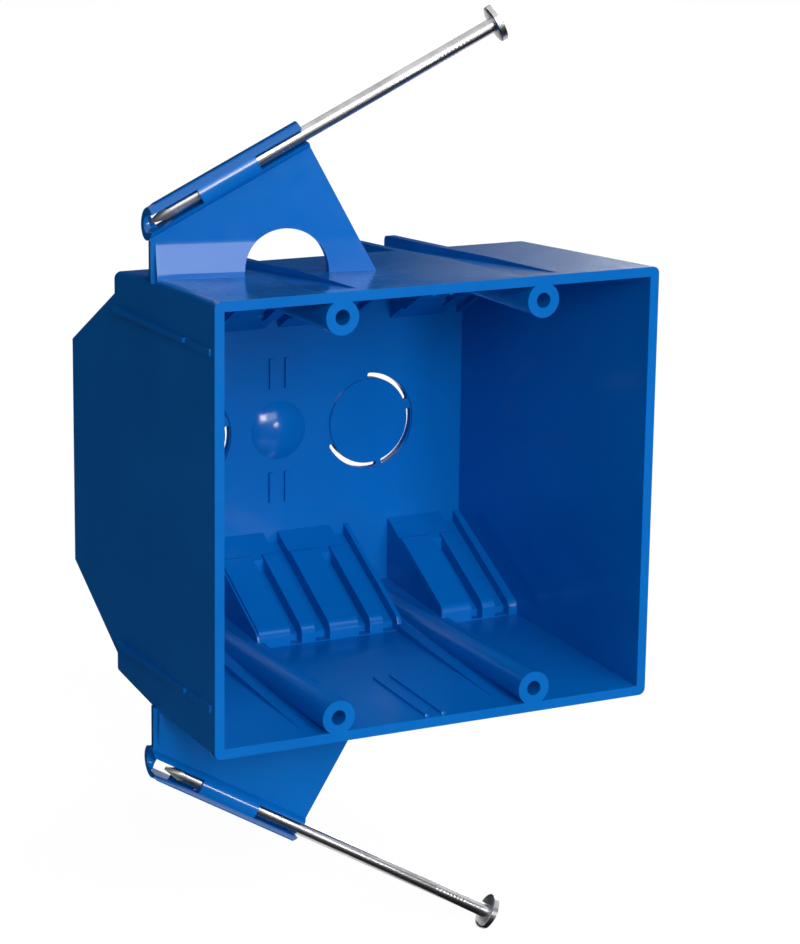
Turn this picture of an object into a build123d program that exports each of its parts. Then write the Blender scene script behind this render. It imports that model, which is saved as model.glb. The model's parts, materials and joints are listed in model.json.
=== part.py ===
# Two-gang electrical box for new work: one moulded box with cable clamps, knockouts and
# two nailing ears, and the two nails that the ears hold.
# X is to the right, Y runs into the box from its front rim, Z is up.
# The origin is the middle of the four device screws, in the plane of the rim.
import os
from math import cos, radians, sin, tan
from build123d import *

os.makedirs("parts", exist_ok=True)

# Box walls
width = 101.6
height = 93.7
depth = 80.0
wall = 2.1
side_draft = 1.2
top_draft = 3.1
crown_rise = 1.1
edge_radius = 1.5
back_edge_radius = 1.2

# Device screws
gang_spacing = 46.04
screw_spacing = 83.34
screw_hole_diameter = 3.2
screw_hole_depth = 20.0
boss_diameter = 7.3

# Tower behind each screw, with a shallow channel along its outside
tower_width = 13.2
tower_wall = 1.4
channel_width = 9.0
channel_drop = 2.4
channel_front = 3.0

# Cable clamps: a sloped wall in a pocket, with raised tongues and deep grooves between them.
# Only a thin web is left under the grooves, which breaks when a cable is pushed in.
step_depth = 53.5
step_drop = 4.1
slope_angle = 29.5
inner_clamp = 8.45
outer_clamp = 37.2
wide_tongue = 7.5
narrow_tongue = 3.3
middle_groove = 2.8
end_groove = 3.6
groove_web = 0.6
groove_back = 70.5
pocket_rise = 0.9
side_drop = 0.5
nose_wall = 3.1
tongue_height = 0.7
tongue_depth = 72.0
tongue_radius = 0.8
nose_radius = 2.8

# Knockouts in the back wall: slits round each disc, and a groove where it bends
knockout_diameter = 21.2
knockout_slit = 1.1
knockout_groove = 1.5
knockout_groove_depth = 0.5
knockout_slits = [(24, 64), (-68, 76), (-150, 70)]

# Dome in the middle of the back wall
dome_diameter = 13.4
dome_height = 2.0

# Guides for a divider between the gangs
guide_gap = 3.0
guide_thickness = 0.9
guide_height = 0.45
guide_front = 1.0
guide_length = 24.0
back_guide_height = 0.7
back_guide_length = 7.0
back_guide_from_dome = 3.0

# Stud side: pads against the stud, and ticks that show the depth of the wall board
stud_proud = 0.3
pad_height = 36.5
pad_width = 1.0
pad_front = 15.0
pad_length = 36.0
tick_front = 2.0
tick_length = 11.0
tick_width = 1.4

# Nails
nail_diameter = 3.0
nail_length = 82.55
nail_head_diameter = 7.8
nail_head_thickness = 1.5
nail_point_length = 5.0
nail_point_flat = 0.3
nail_clearance = 0.08
upper_nail_start = 0.4
lower_nail_start = 3.1

# Nailing ears: a plate that leans forward from the stud, with a tube for the nail
ear_depth = 32.5
ear_lean = 12.5
ear_thickness = 2.2
ear_length = 47.0
ear_notch = 0.5
ear_notch_height = 7.8
ear_corner_radius = 3.0
nail_angle = 28.5
nail_height = 57.5
tube_wall = 1.4
tube_length = 36.1
tube_lip = 1.5
end_ring = 1.0
back_strap_start = 5.7
loop_start = 11.4
loop_length = 13.6
arch_radius = 9.0
arch_centre = 28.1
arch_height = 0.5
foot_start = 1.0
foot_reach = 1.8
foot_rise = 6.6
foot_thickness = 1.2
foot_root = 0.4

# Sizes that follow from those above
front = Plane.XZ
gang_x = gang_spacing / 2
stud_x = -width / 2 - stud_proud
inner_depth = depth - wall
outside = 2 * height
slope = tan(radians(slope_angle))
slope_wall_height = wall / cos(radians(slope_angle))


def half_width(y):
    return width / 2 - y * tan(radians(side_draft))


def half_height(y):
    return height / 2 - y * tan(radians(top_draft))


def slope_z(y):
    return half_height(step_depth) - step_drop - (y - step_depth) * slope


def groove_profile(back):
    return [
        (nose_depth - wall, nose_foot),
        (groove_front, nose_foot),
        (groove_front, slope_z(groove_front) + groove_floor),
        (back, slope_z(back) + groove_floor),
        (back, slope_z(back) - 2 * tongue_rise),
        (nose_depth - wall, slope_z(nose_depth) - 2 * tongue_rise),
    ]


# Profiles seen from the side, as depth and height, for the upper half of the box
crown_height = half_height(ear_depth) + crown_rise
wall_line = [
    (0, height / 2),
    (ear_depth, crown_height),
    (step_depth, half_height(step_depth)),
    (depth, half_height(depth)),
]
nose_depth = step_depth - nose_wall
nose_foot = half_height(step_depth) - wall
tongue_rise = slope_wall_height + tongue_height
groove_front = step_depth - groove_web
groove_floor = pocket_rise - groove_web / cos(radians(slope_angle))
pocket_profile = [
    (step_depth, outside),
    (step_depth, slope_z(step_depth) + pocket_rise),
    (2 * depth, slope_z(2 * depth) + pocket_rise),
    (2 * depth, outside),
]
side_profile = [
    (step_depth, outside),
    (step_depth, slope_z(step_depth) - side_drop),
    (2 * depth, slope_z(2 * depth) - side_drop),
    (2 * depth, outside),
]
slope_profile = [
    (nose_depth, outside),
    (nose_depth, slope_z(nose_depth) - slope_wall_height),
    (2 * depth, slope_z(2 * depth) - slope_wall_height),
    (2 * depth, outside),
]
tongue_profile = [
    (nose_depth, outside),
    (nose_depth, slope_z(nose_depth) - tongue_rise),
    (tongue_depth, slope_z(tongue_depth) - tongue_rise),
    (tongue_depth, outside),
]
channel_profile = [
    (channel_front, half_height(channel_front)),
    (depth, half_height(depth) - channel_drop),
    (2 * depth, half_height(depth) - channel_drop),
    (2 * depth, outside),
    (channel_front, outside),
]
ceiling_profile = [
    (channel_front, half_height(channel_front) - wall),
    (depth, half_height(depth) - channel_drop - wall),
    (depth, outside),
    (channel_front, outside),
]
guide_back = guide_front + guide_length
guide_profile = [
    (guide_front, half_height(guide_front) - wall - guide_height),
    (guide_back, half_height(guide_back) - wall - guide_height),
    (guide_back, outside),
    (guide_front, outside),
]

# Places across the box: the sloped walls lie between the towers and outside them
tower_inner = gang_x - tower_width / 2
tower_outer = gang_x + tower_width / 2
pocket_spans = [(-tower_inner, tower_inner), (tower_outer, width), (-width, -tower_outer)]
slope_spans = [
    (-tower_inner - tower_wall, tower_inner + tower_wall),
    (tower_outer - tower_wall, width),
    (-width, -tower_outer + tower_wall),
]
clamp_places = [-outer_clamp, -inner_clamp, inner_clamp, outer_clamp]
groove_side = middle_groove / 2
tongue_spans = [(-groove_side - wide_tongue, wide_tongue), (groove_side, narrow_tongue)]
groove_spans = [
    (-groove_side, middle_groove, groove_back),
    (groove_side + narrow_tongue, end_groove, inner_depth),
]
clamp_side = outer_clamp + groove_side + wide_tongue + groove_web
guide_shift = guide_gap / 2 + guide_thickness / 2
back_guide_middle = dome_diameter / 2 + back_guide_from_dome + back_guide_length / 2
dome_sphere = ((dome_diameter / 2) ** 2 + dome_height**2) / (2 * dome_height)
knockout_paths = [
    CenterArc((side * gang_x, 0), knockout_diameter / 2, start, sweep_angle)
    for side in (-1, 1)
    for start, sweep_angle in knockout_slits
]

# The hollow inside the box, with the clamps, screw bosses and guides left standing in it
with BuildPart() as hollow:
    with BuildSketch(front):
        Rectangle(width - 2 * wall, height - 2 * wall)
    with BuildSketch(front.offset(-inner_depth)):
        Rectangle(2 * (half_width(inner_depth) - wall), 2 * (half_height(inner_depth) - wall))
    loft()

    # Sloped walls of the clamp pockets
    for low, high in slope_spans:
        with BuildSketch(Plane.YZ.offset(low)) as slope_wall:
            with BuildLine():
                Polyline(*slope_profile, close=True)
            make_face()
            fillet(slope_wall.vertices().group_by(Axis.X)[0].sort_by(Axis.Y)[0], nose_radius)
            mirror(about=Plane.XZ)
        extrude(amount=high - low, mode=Mode.SUBTRACT)

    # A wide and a narrow tongue on each clamp
    for place in clamp_places:
        for start, across in tongue_spans:
            with BuildSketch(Plane.YZ.offset(place + start)) as tongue:
                with BuildLine():
                    Polyline(*tongue_profile, close=True)
                make_face()
                fillet(tongue.vertices().group_by(Axis.X)[0].sort_by(Axis.Y)[0], nose_radius)
                fillet(tongue.vertices().group_by(Axis.X)[-1].sort_by(Axis.Y)[0], tongue_radius)
                mirror(about=Plane.XZ)
            extrude(amount=across, mode=Mode.SUBTRACT)

    # Ceiling under the channel of each tower
    for side in (-1, 1):
        with BuildSketch(Plane.YZ.offset(side * gang_x - tower_width / 2)):
            with BuildLine():
                Polyline(*ceiling_profile, close=True)
            make_face()
            mirror(about=Plane.XZ)
        extrude(amount=tower_width, mode=Mode.SUBTRACT)

    # Screw bosses run back as round rails on the floor and the ceiling
    with BuildSketch(front):
        with GridLocations(gang_spacing, screw_spacing, 2, 2):
            Circle(boss_diameter / 2)
    extrude(amount=-depth, mode=Mode.SUBTRACT)

    # Divider guides on the floor, the ceiling and the back wall
    for side in (-1, 1):
        with BuildSketch(Plane.YZ.offset(side * guide_shift - guide_thickness / 2)):
            with BuildLine():
                Polyline(*guide_profile, close=True)
            make_face()
            with Locations((inner_depth, back_guide_middle)):
                Rectangle(2 * back_guide_height, back_guide_length)
            mirror(about=Plane.XZ)
        extrude(amount=guide_thickness, mode=Mode.SUBTRACT)

    with Locations((0, inner_depth - dome_height + dome_sphere, 0)):
        Sphere(dome_sphere, mode=Mode.SUBTRACT)

# Directions of the upper ear and its nail
ear_along = Vector(cos(radians(ear_lean)), -sin(radians(ear_lean)), 0)
ear_front = Vector(-sin(radians(ear_lean)), -cos(radians(ear_lean)), 0)
ear_origin = Vector(stud_x + ear_notch, ear_depth, 0)
ear_plane = Plane(origin=ear_origin, x_dir=ear_along, z_dir=ear_front)
nail_along = ear_along * cos(radians(nail_angle)) + Vector(0, 0, sin(radians(nail_angle)))
nail_across = ear_front.cross(nail_along)
nail_origin = ear_origin + Vector(0, 0, nail_height)
nail_plane = Plane(origin=nail_origin, x_dir=nail_along, z_dir=ear_front)
tube_plane = Plane(origin=nail_origin, x_dir=ear_front, z_dir=nail_along)

# Corners of the ear's plate, as distance along it and height
bore_radius = nail_diameter / 2 + nail_clearance
tube_radius = bore_radius + tube_wall
wall_top = crown_height
ear_root = wall_top - wall / 2
foot_top = wall_top + foot_thickness
arch_base = wall_top + arch_height
foot_front = ear_thickness / 2 + foot_reach
turn = radians(nail_angle)
tube_end_s = tube_length * cos(turn)
tube_end_z = nail_height + tube_length * sin(turn)
lip_start_z = nail_height + tube_radius / cos(turn)
ear_outline = [
    (0, ear_root),
    (0, wall_top + ear_notch_height),
    (-ear_notch, wall_top + ear_notch_height),
    (-ear_notch, lip_start_z - ear_notch * tan(turn)),
    (tube_end_s - tube_radius * sin(turn), tube_end_z + tube_radius * cos(turn)),
    (tube_end_s + tube_lip * sin(turn), tube_end_z - tube_lip * cos(turn)),
    (ear_length, arch_base),
    (ear_length, ear_root),
]
foot_profile = [
    (foot_front, foot_top),
    (foot_front, wall_top - foot_root),
    (0, wall_top - foot_root),
    (0, foot_top + foot_rise),
    (ear_thickness / 2, foot_top + foot_rise),
]
edge_middle = (Vector(*ear_outline[5]) + Vector(*ear_outline[6])) * 0.5
foot_end_cut = [
    (edge_middle.X, edge_middle.Y),
    (ear_length, arch_base),
    (2 * ear_length, arch_base),
    (2 * ear_length, edge_middle.Y),
]
loop_end = loop_start + loop_length
open_front = [(-tube_length, loop_start), (loop_end, 2 * tube_length)]
open_back = [(end_ring, back_strap_start), (loop_start, loop_end)]

with BuildPart() as ear:
    with BuildSketch(ear_plane) as plate:
        with BuildLine():
            Polyline(*ear_outline, close=True)
        make_face()
        fillet(plate.vertices().group_by(Axis.X)[0].sort_by(Axis.Y)[-1], ear_corner_radius)
    extrude(amount=ear_thickness / 2, both=True)

    # Foot: the plate sweeps forward onto a low ledge on the wall
    foot_origin = ear_origin + ear_along * foot_start
    with BuildSketch(Plane(origin=foot_origin, x_dir=ear_front, z_dir=ear_along * -1)):
        with BuildLine():
            Polyline(*foot_profile)
            TangentArc(foot_profile[-1], foot_profile[0], tangent=(0, -1))
        make_face()
    extrude(amount=foot_start - ear_length)

    # The foot ends at the plate's slanted edge
    with BuildSketch(ear_plane):
        with BuildLine():
            Polyline(*foot_end_cut, close=True)
        make_face()
    extrude(amount=2 * foot_front, both=True, mode=Mode.SUBTRACT)

    # Arch between the two legs of the plate
    with BuildSketch(ear_plane):
        with Locations((arch_centre, arch_base)):
            Circle(arch_radius)
        with Locations((arch_centre, arch_base - arch_radius / 2)):
            Rectangle(2 * arch_radius, arch_radius)
    extrude(amount=2 * foot_front, both=True, mode=Mode.SUBTRACT)

    # Tube for the nail, cut off flush with the stud
    with BuildSketch(tube_plane.offset(-tube_radius)):
        Circle(tube_radius)
    extrude(amount=tube_length + tube_radius)
    with BuildSketch(Plane.YZ.offset(stud_x)):
        with Locations((ear_depth, nail_height)):
            Rectangle(height, height)
    extrude(amount=-height, mode=Mode.SUBTRACT)
    with BuildSketch(tube_plane):
        Circle(bore_radius)
    extrude(amount=nail_length, both=True, mode=Mode.SUBTRACT)

    # Openings leave a loop in front of the nail and a strap behind it on each side of the loop
    for spans, reach in ((open_front, 2 * tube_radius), (open_back, -2 * tube_radius)):
        for start, end in spans:
            with BuildSketch(nail_plane):
                with Locations(((start + end) / 2, 0)):
                    Rectangle(end - start, 2 * bore_radius)
            extrude(amount=reach, mode=Mode.SUBTRACT)

# The box itself
with BuildPart() as box:
    # Top and bottom crown at the ears, and fall away from there to the rim and to the step
    for y, z in wall_line:
        with BuildSketch(front.offset(-y)):
            RectangleRounded(2 * half_width(y), 2 * z, edge_radius)
    loft(ruled=True)
    fillet(box.edges().group_by(Axis.Y)[-1], back_edge_radius)

    # Clamp pockets, and the channel along each tower
    for low, high in pocket_spans:
        with BuildSketch(Plane.YZ.offset(low)):
            with BuildLine():
                Polyline(*pocket_profile, close=True)
            make_face()
            mirror(about=Plane.XZ)
        extrude(amount=high - low, mode=Mode.SUBTRACT)
    for low in (clamp_side, -width):
        with BuildSketch(Plane.YZ.offset(low)):
            with BuildLine():
                Polyline(*side_profile, close=True)
            make_face()
            mirror(about=Plane.XZ)
        extrude(amount=width - clamp_side, mode=Mode.SUBTRACT)
    for side in (-1, 1):
        with BuildSketch(Plane.YZ.offset(side * gang_x - channel_width / 2)):
            with BuildLine():
                Polyline(*channel_profile, close=True)
            make_face()
            mirror(about=Plane.XZ)
        extrude(amount=channel_width, mode=Mode.SUBTRACT)

    add(hollow.part, mode=Mode.SUBTRACT)

    # Grooves beside the tongues of each clamp
    for place in clamp_places:
        for start, across, back in groove_spans:
            with BuildSketch(Plane.YZ.offset(place + start)):
                with BuildLine():
                    Polyline(*groove_profile(back), close=True)
                make_face()
                mirror(about=Plane.XZ)
            extrude(amount=across, mode=Mode.SUBTRACT)

    # Screw holes
    with BuildSketch(front):
        with GridLocations(gang_spacing, screw_spacing, 2, 2):
            Circle(screw_hole_diameter / 2)
    extrude(amount=-screw_hole_depth, mode=Mode.SUBTRACT)

    # Knockouts
    with BuildSketch(front.offset(-inner_depth)):
        with GridLocations(gang_spacing, 0, 2, 1):
            Circle(knockout_diameter / 2 + knockout_groove / 2)
            Circle(knockout_diameter / 2 - knockout_groove / 2, mode=Mode.SUBTRACT)
    extrude(amount=-knockout_groove_depth, mode=Mode.SUBTRACT)
    with BuildSketch(front.offset(-inner_depth)):
        for path in knockout_paths:
            SlotArc(path, knockout_slit)
    extrude(amount=-2 * wall, mode=Mode.SUBTRACT)

    # Dimple behind the dome
    with Locations((0, depth - dome_height + dome_sphere, 0)):
        Sphere(dome_sphere, mode=Mode.SUBTRACT)

    # Pads and ticks on the stud side
    for side in (-1, 1):
        with BuildSketch(Plane.YZ.offset(stud_x)):
            with Locations((pad_front + pad_length / 2, side * pad_height)):
                Rectangle(pad_length, pad_width)
            with Locations((tick_front + tick_length / 2, side * pad_height)):
                Rectangle(tick_length, tick_width)
        extrude(amount=stud_proud + wall)

    add(ear.part)
    mirror(ear.part, about=Plane.XY)

# Nail drawn from its point, along the tube
nail_half_outline = [
    (0, 0),
    (0, nail_diameter / 2),
    (nail_length - nail_head_thickness, nail_diameter / 2),
    (nail_length - nail_head_thickness, nail_head_diameter / 2),
    (nail_length, nail_head_diameter / 2),
    (nail_length, 0),
]
point_cut = [
    (0, nail_point_flat),
    (nail_point_length, nail_diameter / 2),
    (0, nail_diameter),
]
upper_nail_point = nail_origin + nail_along * upper_nail_start
lower_nail_point = nail_origin + nail_along * lower_nail_start

with BuildPart() as upper_nail:
    with BuildSketch(Plane(origin=upper_nail_point, x_dir=nail_along, z_dir=ear_front)):
        with BuildLine():
            Polyline(*nail_half_outline, close=True)
        make_face()
    revolve(axis=Axis(upper_nail_point, nail_along))
    for facing in (ear_front, nail_across):
        with BuildSketch(Plane(origin=upper_nail_point, x_dir=nail_along, z_dir=facing)):
            with BuildLine():
                Polyline(*point_cut, close=True)
            make_face()
            mirror(about=Plane.XZ)
        extrude(amount=nail_diameter, both=True, mode=Mode.SUBTRACT)

with BuildPart() as lower_nail_above:
    with BuildSketch(Plane(origin=lower_nail_point, x_dir=nail_along, z_dir=ear_front)):
        with BuildLine():
            Polyline(*nail_half_outline, close=True)
        make_face()
    revolve(axis=Axis(lower_nail_point, nail_along))
    for facing in (ear_front, nail_across):
        with BuildSketch(Plane(origin=lower_nail_point, x_dir=nail_along, z_dir=facing)):
            with BuildLine():
                Polyline(*point_cut, close=True)
            make_face()
            mirror(about=Plane.XZ)
        extrude(amount=nail_diameter, both=True, mode=Mode.SUBTRACT)

# The lower nail is drawn in the upper ear and mirrored down
with BuildPart() as lower_nail:
    mirror(lower_nail_above.part, about=Plane.XY)

box.part.label = "box"
upper_nail.part.label = "upper_nail"
lower_nail.part.label = "lower_nail"
export_step(box.part, "parts/box.step")
export_step(upper_nail.part, "parts/upper_nail.step")
export_step(lower_nail.part, "parts/lower_nail.step")
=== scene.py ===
import json
import math
import bpy
from mathutils import Matrix, Vector


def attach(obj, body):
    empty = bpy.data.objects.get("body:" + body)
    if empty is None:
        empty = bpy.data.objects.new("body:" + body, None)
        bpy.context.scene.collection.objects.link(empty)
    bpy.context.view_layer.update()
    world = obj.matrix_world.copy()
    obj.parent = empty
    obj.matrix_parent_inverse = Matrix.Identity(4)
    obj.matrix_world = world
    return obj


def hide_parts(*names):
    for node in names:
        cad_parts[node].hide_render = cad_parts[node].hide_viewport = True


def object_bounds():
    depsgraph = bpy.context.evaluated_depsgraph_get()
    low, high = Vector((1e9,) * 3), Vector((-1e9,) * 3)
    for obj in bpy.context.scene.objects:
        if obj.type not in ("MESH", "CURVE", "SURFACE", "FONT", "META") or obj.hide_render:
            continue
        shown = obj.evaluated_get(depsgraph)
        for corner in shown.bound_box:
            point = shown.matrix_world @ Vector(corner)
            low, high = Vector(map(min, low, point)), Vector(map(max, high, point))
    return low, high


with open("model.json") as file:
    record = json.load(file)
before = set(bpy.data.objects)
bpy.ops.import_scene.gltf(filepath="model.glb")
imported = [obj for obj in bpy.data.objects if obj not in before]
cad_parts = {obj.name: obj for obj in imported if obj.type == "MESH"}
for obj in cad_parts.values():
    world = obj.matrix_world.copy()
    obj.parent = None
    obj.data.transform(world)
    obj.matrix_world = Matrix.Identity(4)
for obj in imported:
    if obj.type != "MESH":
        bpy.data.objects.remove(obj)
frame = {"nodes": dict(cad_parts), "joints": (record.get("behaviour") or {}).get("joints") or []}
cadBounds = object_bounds()
mm = 0.001


def deselectAll():
    bpy.ops.object.select_all(action="DESELECT")


def makeActive(piece):
    deselectAll()
    piece.select_set(True)
    bpy.context.view_layer.objects.active = piece


def applyModifier(piece, kind, **settings):
    makeActive(piece)
    modifier = piece.modifiers.new(kind.lower(), kind)
    for key, value in settings.items():
        setattr(modifier, key, value)
    bpy.ops.object.modifier_apply(modifier=modifier.name)


def setMaterial(piece, material):
    piece.data.materials.clear()
    piece.data.materials.append(material)


# materials

def startMaterial(name):
    material = bpy.data.materials.new(name)
    material.use_nodes = True
    nodes = material.node_tree.nodes
    nodes.clear()
    output = nodes.new("ShaderNodeOutputMaterial")
    shader = nodes.new("ShaderNodeBsdfPrincipled")
    material.node_tree.links.new(shader.outputs["BSDF"], output.inputs["Surface"])
    coords = nodes.new("ShaderNodeTexCoord")
    return material, nodes, material.node_tree.links, shader, coords.outputs["Object"]


def addNoise(nodes, links, vector, scale, detail=3.0, roughness=0.5):
    noise = nodes.new("ShaderNodeTexNoise")
    noise.inputs["Scale"].default_value = scale
    noise.inputs["Detail"].default_value = detail
    noise.inputs["Roughness"].default_value = roughness
    links.new(vector, noise.inputs["Vector"])
    return noise.outputs["Fac"]


def addRange(nodes, links, value, fromLow, fromHigh, toLow, toHigh):
    spread = nodes.new("ShaderNodeMapRange")
    spread.inputs["From Min"].default_value = fromLow
    spread.inputs["From Max"].default_value = fromHigh
    spread.inputs["To Min"].default_value = toLow
    spread.inputs["To Max"].default_value = toHigh
    links.new(value, spread.inputs["Value"])
    return spread.outputs["Result"]


def addMapping(nodes, links, vector, turn, stretch):
    mapping = nodes.new("ShaderNodeMapping")
    mapping.vector_type = "TEXTURE"
    mapping.inputs["Rotation"].default_value = turn
    mapping.inputs["Scale"].default_value = stretch
    links.new(vector, mapping.inputs["Vector"])
    return mapping.outputs["Vector"]


def mixColours(nodes, links, factor, first, second):
    mix = nodes.new("ShaderNodeMix")
    mix.data_type = "RGBA"
    links.new(factor, mix.inputs["Factor"])
    for socket, colour in ((mix.inputs[6], first), (mix.inputs[7], second)):
        if isinstance(colour, tuple):
            socket.default_value = (*colour, 1.0)
        else:
            links.new(colour, socket)
    return mix.outputs[2]


def addBump(nodes, links, height, strength, distance, normal=None):
    bump = nodes.new("ShaderNodeBump")
    bump.inputs["Strength"].default_value = strength
    bump.inputs["Distance"].default_value = distance
    links.new(height, bump.inputs["Height"])
    if normal is not None:
        links.new(normal, bump.inputs["Normal"])
    return bump.outputs["Normal"]


bluePlastic = {
    "deep": (0.000, 0.128, 0.480),
    "light": (0.001, 0.144, 0.530),
    "flowScale": 38.0,               # broad flow marks of the moulding
    "rubScale": 210.0,               # patches that are rubbed a little duller
    "rough": (0.14, 0.20),
    "peelScale": 1500.0,             # fine skin of the tool
    "peelBump": (0.12, 0.00003),     # strength and height
    "waveScale": 90.0,               # slight waves of the walls
    "waveBump": (0.25, 0.00012),
    "specular": 0.50,
}


def makeBluePlastic(look):
    material, nodes, links, shader, coords = startMaterial("bluePlastic")
    flow = addNoise(nodes, links, coords, look["flowScale"], 4.0, 0.55)
    tone = addRange(nodes, links, flow, 0.3, 0.7, 0.0, 1.0)
    colour = mixColours(nodes, links, tone, look["deep"], look["light"])
    links.new(colour, shader.inputs["Base Color"])
    rub = addNoise(nodes, links, coords, look["rubScale"], 5.0, 0.6)
    gloss = addRange(nodes, links, rub, 0.3, 0.75, *look["rough"])
    links.new(gloss, shader.inputs["Roughness"])
    peel = addNoise(nodes, links, coords, look["peelScale"], 2.0, 0.5)
    wave = addNoise(nodes, links, coords, look["waveScale"], 1.0, 0.4)
    fine = addBump(nodes, links, peel, *look["peelBump"])
    relief = addBump(nodes, links, wave, *look["waveBump"], fine)
    links.new(relief, shader.inputs["Normal"])
    shader.inputs["Specular IOR Level"].default_value = look["specular"]
    return material


nailSteel = {
    "bright": (0.66, 0.66, 0.67),
    "dull": (0.36, 0.36, 0.38),
    "patchScale": 130.0,
    "rough": (0.25, 0.38),
    "streakScale": 2600.0,           # marks of the wire drawing
    "streakStretch": (1.0, 1.0, 24.0),
    "streakBump": (0.08, 0.00003),   # strength and height
}


def makeNailSteel(look, name, along):
    material, nodes, links, shader, coords = startMaterial(name)
    turn = Vector((0, 0, 1)).rotation_difference(along).to_euler()
    drawn = addMapping(nodes, links, coords, turn, look["streakStretch"])
    streaks = addNoise(nodes, links, drawn, look["streakScale"], 3.0, 0.6)
    patches = addNoise(nodes, links, coords, look["patchScale"], 4.0, 0.6)
    tone = addRange(nodes, links, patches, 0.35, 0.7, 0.0, 1.0)
    colour = mixColours(nodes, links, tone, look["bright"], look["dull"])
    links.new(colour, shader.inputs["Base Color"])
    gloss = addRange(nodes, links, patches, 0.3, 0.75, *look["rough"])
    links.new(gloss, shader.inputs["Roughness"])
    links.new(addBump(nodes, links, streaks, *look["streakBump"]), shader.inputs["Normal"])
    shader.inputs["Metallic"].default_value = 1.0
    return material


plastic = makeBluePlastic(bluePlastic)
print("materials made")

# the moulded box, from the CAD solid with its edges eased

earFoot = {
    "lean": math.radians(12.5),      # turn of the ear's plate towards the front
    "root": Vector((-50.6 * mm, 32.5 * mm, 0)),
    "front": 1.1 * mm,               # face of the plate, from its middle
    "reach": 1.8 * mm,
    "farReach": 0.35 * mm,           # the leg beyond the arch is nearly flat
    "farStart": 28.0 * mm,           # middle of the arch, along the plate
    "length": 47.0 * mm,
    "rootLow": 45.4 * mm,            # heights: under the wall's skin, slant's foot and top
    "low": 47.39 * mm,
    "high": 53.99 * mm,
    "wallSlope": -0.0203,            # fall of the wall under the foot
    "blend": 0.2,                    # share of the height that bends from plate to slant
    "slack": 0.001 * mm,
}


def slantFoot(mesh, sizes):  # the foot is nearly flat, with a short bend at its top
    along = Vector((math.cos(sizes["lean"]), -math.sin(sizes["lean"]), 0))
    front = Vector((-math.sin(sizes["lean"]), -math.cos(sizes["lean"]), 0))
    slack, blend = sizes["slack"], sizes["blend"]
    for vertex in mesh.vertices:
        place = vertex.co - sizes["root"]
        out, height = place.dot(front), abs(vertex.co.z)
        if not -mm < place.dot(along) < sizes["length"] + mm:
            continue
        if not sizes["rootLow"] < height < sizes["high"] + slack:
            continue
        if not sizes["front"] + slack < out < sizes["front"] + sizes["reach"] + slack:
            continue
        far = place.dot(along) > sizes["farStart"]
        if height < sizes["low"] - slack and not far:
            continue
        fall = min((sizes["high"] - height) / (sizes["high"] - sizes["low"]), 1)
        share = fall ** 2 / (2 * blend) if fall < blend else fall - blend / 2
        reach = sizes["farReach"] if far else sizes["reach"]
        step = sizes["front"] + reach * share / (1 - blend / 2) - out
        vertex.co += front * step
        if height < sizes["low"] - slack:  # stays on the wall
            vertex.co.z += math.copysign(sizes["wallSlope"] * front.y * step, vertex.co.z)


crown = {
    "front": (0.0, 46.85 * mm),       # depth and height of the top wall's outside
    "middle": (32.5 * mm, 46.19 * mm),
    "back": (53.5 * mm, 43.95 * mm),
    "rise": 1.1 * mm,
    "left": -50.0 * mm,
    "right": 50.0 * mm,
    "skin": 1.55 * mm,                # how far below the outside a point still moves
    "slack": 0.01 * mm,
}


def easeCrown(mesh, sizes):  # the crown by the ear runs out towards the plain side
    for vertex in mesh.vertices:
        x, y, z = vertex.co
        first, last = ("front", "middle") if y < sizes["middle"][0] else ("middle", "back")
        share = (y - sizes[first][0]) / (sizes[last][0] - sizes[first][0])
        surface = sizes[first][1] + share * (sizes[last][1] - sizes[first][1])
        inSkin = surface - sizes["skin"] < abs(z) < surface + sizes["slack"]
        if not inSkin or y > sizes["back"][0]:
            continue
        across = (x - sizes["left"]) / (sizes["right"] - sizes["left"])
        across = min(max(across, 0), 1)
        lift = share if first == "front" else 1 - share
        vertex.co.z -= math.copysign(sizes["rise"] * across * lift, z)


boxShell = {
    "mergeDistance": 0.01 * mm,
    "shortEdge": 0.03 * mm,
    "flatAngle": math.radians(0.4),
    "edgeEase": 0.28 * mm,
    "edgeAngle": math.radians(32),
    "smoothAngle": math.radians(34),
    "flatWeight": 80,                # keeps the flat walls flat
}


def makeBoxShell(sizes):
    mesh = frame["nodes"]["box"].data.copy()
    shell = bpy.data.objects.new("boxShell", mesh)
    bpy.context.scene.collection.objects.link(shell)
    makeActive(shell)
    bpy.ops.object.mode_set(mode="EDIT")
    bpy.ops.mesh.select_all(action="SELECT")
    bpy.ops.mesh.remove_doubles(threshold=sizes["mergeDistance"])
    bpy.ops.object.mode_set(mode="OBJECT")
    slantFoot(mesh, earFoot)
    easeCrown(mesh, crown)
    bpy.ops.object.mode_set(mode="EDIT")
    bpy.ops.mesh.select_all(action="SELECT")
    bpy.ops.mesh.dissolve_limited(angle_limit=sizes["flatAngle"])
    bpy.ops.mesh.dissolve_degenerate(threshold=sizes["shortEdge"])
    bpy.ops.object.mode_set(mode="OBJECT")
    applyModifier(
        shell, "BEVEL", width=sizes["edgeEase"], segments=2, limit_method="ANGLE",
        angle_limit=sizes["edgeAngle"], use_clamp_overlap=True, miter_outer="MITER_ARC",
    )
    bpy.ops.object.shade_smooth_by_angle(angle=sizes["smoothAngle"])
    applyModifier(shell, "WEIGHTED_NORMAL", keep_sharp=True, weight=sizes["flatWeight"])
    setMaterial(shell, plastic)
    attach(shell, "box")
    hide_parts("box")
    print("box shell", len(mesh.polygons), "faces")


makeBoxShell(boxShell)

# dome in the back wall, drawn finer than the solid's facets

dome = {
    "radius": 6.7 * mm,
    "height": 2.0 * mm,
    "wallDepth": 77.9 * mm,   # inner face of the back wall
    "cover": 0.04 * mm,       # stands this far over the solid
    "segments": 96,
    "rings": 96,
    "smoothAngle": math.radians(20),
}


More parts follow.
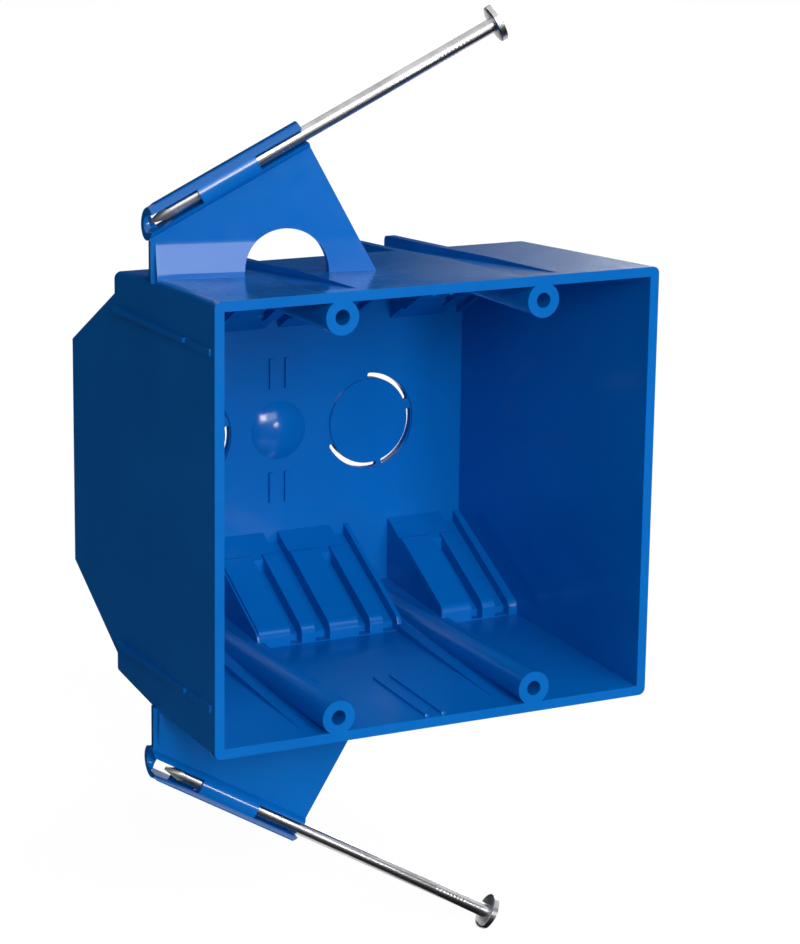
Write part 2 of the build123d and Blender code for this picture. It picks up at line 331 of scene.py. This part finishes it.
def makeDome(sizes):
    deselectAll()
    sphere = (sizes["radius"] ** 2 + sizes["height"] ** 2) / (2 * sizes["height"])
    centre = sizes["wallDepth"] - sizes["height"] + sphere
    bpy.ops.mesh.primitive_uv_sphere_add(
        segments=sizes["segments"], ring_count=sizes["rings"],
        radius=sphere + sizes["cover"], location=(0, centre, 0),
        rotation=(math.pi / 2, 0, 0),
    )
    cap = bpy.context.object
    cap.name = "dome"
    bpy.ops.object.transform_apply(location=True, rotation=True, scale=True)
    bpy.ops.object.mode_set(mode="EDIT")
    bpy.ops.mesh.select_all(action="SELECT")
    bpy.ops.mesh.bisect(
        plane_co=(0, sizes["wallDepth"] + sizes["cover"], 0), plane_no=(0, 1, 0),
        use_fill=True, clear_outer=True,
    )
    bpy.ops.object.mode_set(mode="OBJECT")
    bpy.ops.object.shade_smooth_by_angle(angle=sizes["smoothAngle"])
    setMaterial(cap, plastic)
    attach(cap, "box")
    print("dome", len(cap.data.polygons), "faces")


makeDome(dome)

# nails

nail = {
    "radius": 1.5 * mm,
    "length": 82.55 * mm,
    "headRadius": 3.9 * mm,
    "headThick": 1.5 * mm,
    "headEase": 0.35 * mm,
    "headInsets": (0.9 * mm, 1.2 * mm),
    "neck": 1.6 * mm,
    "neckSpread": 1.03,       # slim enough for the tube's bore
    "point": 5.0 * mm,
    "pointFlat": 0.3 * mm,
    "pointCuts": 4,           # the diamond point
    "grips": 9,               # grip rings that the heading die leaves under the head
    "gripStep": 0.9 * mm,
    "gripShares": (0.3, 0.25, 0.3, 0.15),   # in, floor, out and land of one ring
    "gripDepth": 0.03 * mm,
    "gripStart": 4.0 * mm,
    "sides": 40,
    "slack": 0.001 * mm,
    "tipSlack": 0.01 * mm,
    "smoothAngle": math.radians(28),
}


def selectRing(piece, low, high):
    bpy.ops.mesh.select_all(action="DESELECT")
    bpy.ops.object.mode_set(mode="OBJECT")
    for vertex in piece.data.vertices:
        vertex.select = low <= vertex.co.z <= high
    bpy.ops.object.mode_set(mode="EDIT")


def growEnd(step, scale):
    bpy.ops.mesh.extrude_region_move(TRANSFORM_OT_translate={"value": (0, 0, step)})
    bpy.ops.transform.resize(value=(scale, scale, 1.0))


def makeNail(name, sizes):
    deselectAll()
    bodyLength = sizes["length"] - sizes["headThick"] - sizes["neck"] - sizes["gripStart"]
    bodyLength -= sizes["grips"] * sizes["gripStep"]
    bpy.ops.mesh.primitive_cylinder_add(
        vertices=sizes["sides"], radius=sizes["radius"],
        depth=bodyLength, location=(0, 0, bodyLength / 2),
    )
    piece = bpy.context.object
    piece.name = name
    bpy.ops.object.transform_apply(location=True, rotation=True, scale=True)
    bpy.ops.object.mode_set(mode="EDIT")
    bpy.ops.mesh.select_mode(type="VERT")
    selectRing(piece, bodyLength - sizes["slack"], bodyLength + sizes["slack"])
    squeeze = 1 - sizes["gripDepth"] / sizes["radius"]
    for grip in range(sizes["grips"]):  # shallow rings, one after the other
        for share, scale in zip(sizes["gripShares"], (squeeze, 1.0, 1 / squeeze, 1.0)):
            growEnd(share * sizes["gripStep"], scale)
    growEnd(sizes["gripStart"], 1.0)
    growEnd(sizes["neck"], sizes["neckSpread"])
    headScale = sizes["headRadius"] / (sizes["radius"] * sizes["neckSpread"])
    ease = 1 - sizes["headEase"] / sizes["headRadius"]
    bpy.ops.mesh.extrude_region_move(TRANSFORM_OT_translate={"value": (0, 0, 0)})
    bpy.ops.transform.resize(value=(headScale * ease, headScale * ease, 1.0))
    growEnd(0.4 * sizes["headEase"], 1 / ease)
    growEnd(sizes["headThick"] - sizes["headEase"], 1.0)
    growEnd(0.6 * sizes["headEase"], ease)
    for thickness in sizes["headInsets"]:
        bpy.ops.mesh.inset(thickness=thickness)
    slant = math.atan2(sizes["radius"] - sizes["pointFlat"], sizes["point"])
    for cut in range(sizes["pointCuts"]):
        facing = cut * 2 * math.pi / sizes["pointCuts"]
        across = Vector((math.cos(facing), math.sin(facing), 0))
        normal = across * math.cos(slant) - Vector((0, 0, math.sin(slant)))
        bpy.ops.mesh.select_all(action="SELECT")
        bpy.ops.mesh.bisect(
            plane_co=across * sizes["pointFlat"], plane_no=normal,
            use_fill=True, clear_outer=True,
        )
    bpy.ops.mesh.select_all(action="SELECT")
    bpy.ops.mesh.remove_doubles(threshold=sizes["slack"])
    bpy.ops.mesh.normals_make_consistent(inside=False)
    bpy.ops.object.mode_set(mode="OBJECT")
    bpy.ops.object.shade_smooth_by_angle(angle=sizes["smoothAngle"])
    return piece


def findDrive(joint):
    return Vector(next(j["axis"] for j in frame["joints"] if j["name"] == joint)).normalized()


def findTip(node, drive, slack):  # the CAD nail's point, furthest along the way it is driven
    vertices = [v.co for v in frame["nodes"][node].data.vertices]
    far = max(co.dot(drive) for co in vertices)
    ends = [co for co in vertices if co.dot(drive) > far - slack]
    return sum(ends, Vector()) / len(ends)


def placeNail(piece, node, tip, along):
    side = Vector((0, 0, 1)).cross(along).normalized()
    turn = Matrix((side, along.cross(side), along)).transposed().to_4x4()
    makeActive(piece)
    piece.matrix_world = Matrix.Translation(tip) @ turn
    bpy.ops.object.transform_apply(location=True, rotation=True, scale=True)
    setMaterial(piece, makeNailSteel(nailSteel, node + "Steel", along))
    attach(piece, node)
    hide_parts(node)


nailJoints = {"upper_nail": "upper_nail_drive", "lower_nail": "lower_nail_drive"}
for node, joint in nailJoints.items():
    drive = findDrive(joint)
    tip = findTip(node, drive, nail["tipSlack"])
    placeNail(makeNail(node.replace("_nail", "Nail"), nail), node, tip, -drive)
print("nails made")

# camera at the photo's place

camera = {
    "azimuth": math.radians(-27.799),
    "elevation": math.radians(13.921),
    "roll": math.radians(0.819),
    "place": (-0.28972, -0.53111, 0.15761),
    "focalPixels": 3052.239,
    "frameHeight": 944,
    "sensor": 36.0,
    "clip": (0.01, 50.0),
}


def makeCamera(shot):
    az, el, roll = shot["azimuth"], shot["elevation"], shot["roll"]
    back = Vector((math.sin(az) * math.cos(el), -math.cos(az) * math.cos(el), math.sin(el)))
    right = (-back).cross(Vector((0, 0, 1))).normalized()
    up = right.cross(-back)
    level = Matrix((right, up, back)).transposed()
    turned = level @ Matrix.Rotation(roll, 3, "Z")
    data = bpy.data.cameras.new("photoCamera")
    data.sensor_width = shot["sensor"]
    data.lens = shot["focalPixels"] * shot["sensor"] / shot["frameHeight"]
    data.clip_start, data.clip_end = shot["clip"]
    holder = bpy.data.objects.new("photoCamera", data)
    bpy.context.scene.collection.objects.link(holder)
    holder.matrix_world = Matrix.Translation(shot["place"]) @ turned.to_4x4()
    bpy.context.scene.camera = holder


makeCamera(camera)

# floor, world and lamps

studio = {
    "floorColour": (0.55, 0.55, 0.55),
    "floorSize": 12.0,
    "floorGap": 0.0002,      # under the lowest point
    "floorWhite": 0.80,      # share of plain white that the camera sees on the floor
    "floorGlow": 1.17,
    "ambient": 0.085,
    "lampTarget": (0, 0.03, 0),
    "keyPower": 19.6,
    "keyPlace": (-0.14, -1.62, 0.68),
    "keySize": (1.3, 1.2),
    "corePower": 5.8,        # brighter middle of the key
    "corePlace": (-0.43, -1.50, 0.58),
    "coreSize": (0.35, 0.35),
    "sparkPower": 2.8,       # small lamp low on the right, for the crisp lights
    "sparkPlace": (0.33, -1.55, 0.09),
    "sparkSize": (0.19, 0.19),
    "topPower": 3.9,         # softbox overhead, seen in the top wall and the ear's foot
    "topPlace": (0.27, -0.37, 1.2),
    "topSize": (0.5, 0.5),
    "fillPower": 26.0,       # lights the back and the plain side
    "fillPlace": (1.45, 1.45, 0.85),
    "fillSize": (1.0, 0.8),
}


def addLightPathWhite(nodes, links):
    path = nodes.new("ShaderNodeLightPath")
    first = nodes.new("ShaderNodeMath")
    first.operation = "MAXIMUM"
    links.new(path.outputs["Is Camera Ray"], first.inputs[0])
    links.new(path.outputs["Is Glossy Ray"], first.inputs[1])
    second = nodes.new("ShaderNodeMath")
    second.operation = "MAXIMUM"
    links.new(first.outputs[0], second.inputs[0])
    links.new(path.outputs["Is Transmission Ray"], second.inputs[1])
    return second.outputs[0]


def makeWorld(setup):
    world = bpy.data.worlds.new("studioWorld")
    bpy.context.scene.world = world
    world.use_nodes = True
    nodes, links = world.node_tree.nodes, world.node_tree.links
    nodes.clear()
    output = nodes.new("ShaderNodeOutputWorld")
    mix = nodes.new("ShaderNodeMixShader")
    soft = nodes.new("ShaderNodeBackground")
    soft.inputs["Color"].default_value = (1, 1, 1, 1)
    soft.inputs["Strength"].default_value = setup["ambient"]
    white = nodes.new("ShaderNodeBackground")
    white.inputs["Color"].default_value = (1, 1, 1, 1)
    white.inputs["Strength"].default_value = 1.0
    links.new(addLightPathWhite(nodes, links), mix.inputs["Fac"])
    links.new(soft.outputs[0], mix.inputs[1])
    links.new(white.outputs[0], mix.inputs[2])
    links.new(mix.outputs[0], output.inputs["Surface"])


def makeFloor(setup):
    deselectAll()
    height = cadBounds[0][2] - setup["floorGap"]
    bpy.ops.mesh.primitive_plane_add(size=setup["floorSize"], location=(0, 0, height))
    floor = bpy.context.object
    floor.name = "floor"
    material = bpy.data.materials.new("floorPaper")
    material.use_nodes = True
    nodes, links = material.node_tree.nodes, material.node_tree.links
    nodes.clear()
    output = nodes.new("ShaderNodeOutputMaterial")
    mix = nodes.new("ShaderNodeMixShader")
    paper = nodes.new("ShaderNodeBsdfDiffuse")
    paper.inputs["Color"].default_value = (*setup["floorColour"], 1)
    white = nodes.new("ShaderNodeEmission")
    white.inputs["Color"].default_value = (1, 1, 1, 1)
    white.inputs["Strength"].default_value = setup["floorGlow"]
    share = nodes.new("ShaderNodeMath")
    share.operation = "MULTIPLY"
    share.inputs[1].default_value = setup["floorWhite"]
    links.new(addLightPathWhite(nodes, links), share.inputs[0])
    links.new(share.outputs[0], mix.inputs["Fac"])
    links.new(paper.outputs[0], mix.inputs[1])
    links.new(white.outputs[0], mix.inputs[2])
    links.new(mix.outputs[0], output.inputs["Surface"])
    setMaterial(floor, material)


def makeLamp(name, place, target, size, power):
    data = bpy.data.lights.new(name, "AREA")
    data.shape = "RECTANGLE"
    data.size, data.size_y = size
    data.energy = power
    lamp = bpy.data.objects.new(name, data)
    bpy.context.scene.collection.objects.link(lamp)
    lamp.location = place
    lamp.rotation_euler = (Vector(target) - Vector(place)).to_track_quat("-Z", "Y").to_euler()


def makeCard(name, corners, fade=None):
    deselectAll()
    bpy.ops.mesh.primitive_plane_add(size=1.0)
    card = bpy.context.object
    card.name = name
    for vertex, corner in zip(card.data.vertices, corners):
        vertex.co = corner
    material = bpy.data.materials.new(name + "Felt")
    material.use_nodes = True
    shader = material.node_tree.nodes["Principled BSDF"]
    shader.inputs["Base Color"].default_value = (0.01, 0.01, 0.012, 1)
    shader.inputs["Roughness"].default_value = 1.0
    shader.inputs["Specular IOR Level"].default_value = 0.0
    if fade:  # the felt thins out to the white behind it
        nodes, links = material.node_tree.nodes, material.node_tree.links
        spread = nodes.new("ShaderNodeSeparateXYZ")
        links.new(nodes.new("ShaderNodeTexCoord").outputs["Object"], spread.inputs[0])
        cover = addRange(nodes, links, spread.outputs["X"], *fade, 1.0, 0.0)
        links.new(cover, shader.inputs["Alpha"])
    setMaterial(card, material)
    card.visible_camera = False
    card.visible_diffuse = False
    card.visible_shadow = False
    card.visible_transmission = False


makeWorld(studio)
makeFloor(studio)
for lamp in ("key", "core", "spark", "top", "fill"):
    place, size, power = (studio[lamp + part] for part in ("Place", "Size", "Power"))
    makeLamp(lamp + "Lamp", place, studio["lampTarget"], size, power)
print("studio made")

# dark felt that only reflections see, so that the plastic keeps its deep blue

felt = {
    "height": cadBounds[0][2] + 0.001,   # just over the floor
    "side": 2.5,
    "front": -1.75,
    "frontTop": 1.2,
    "back": 2.0,
    "backTop": 1.0,
    "backFade": (1.02, 1.75),   # thins out towards the right
    "nearEnd": 0.02,            # ends of the pieces on the floor
    "underEnd": 0.06,
    "underFront": 0.07,
    "sideEnd": -0.052,
}


def makeFlatCard(name, xs, ys):
    makeCard(name, [(x, y, felt["height"]) for y in ys for x in xs])


def makeUprightCard(name, xs, y, top, fade=None):
    makeCard(name, [(x, y, z) for z in (felt["height"], top) for x in xs], fade)


fullWidth = (-felt["side"], felt["side"])
makeUprightCard("frontCard", fullWidth, felt["front"], felt["frontTop"])
makeUprightCard("backCard", fullWidth, felt["back"], felt["backTop"], felt["backFade"])
makeFlatCard("leftCard", (-felt["side"], felt["underEnd"]), (felt["underFront"], felt["back"]))
makeFlatCard("nearCard", fullWidth, (felt["front"], felt["nearEnd"]))
makeFlatCard("sideCard", (-felt["side"], felt["sideEnd"]), (felt["nearEnd"], felt["underFront"]))
print("felt made")

bpy.context.scene.view_settings.view_transform = "Standard"
print("scene ready")
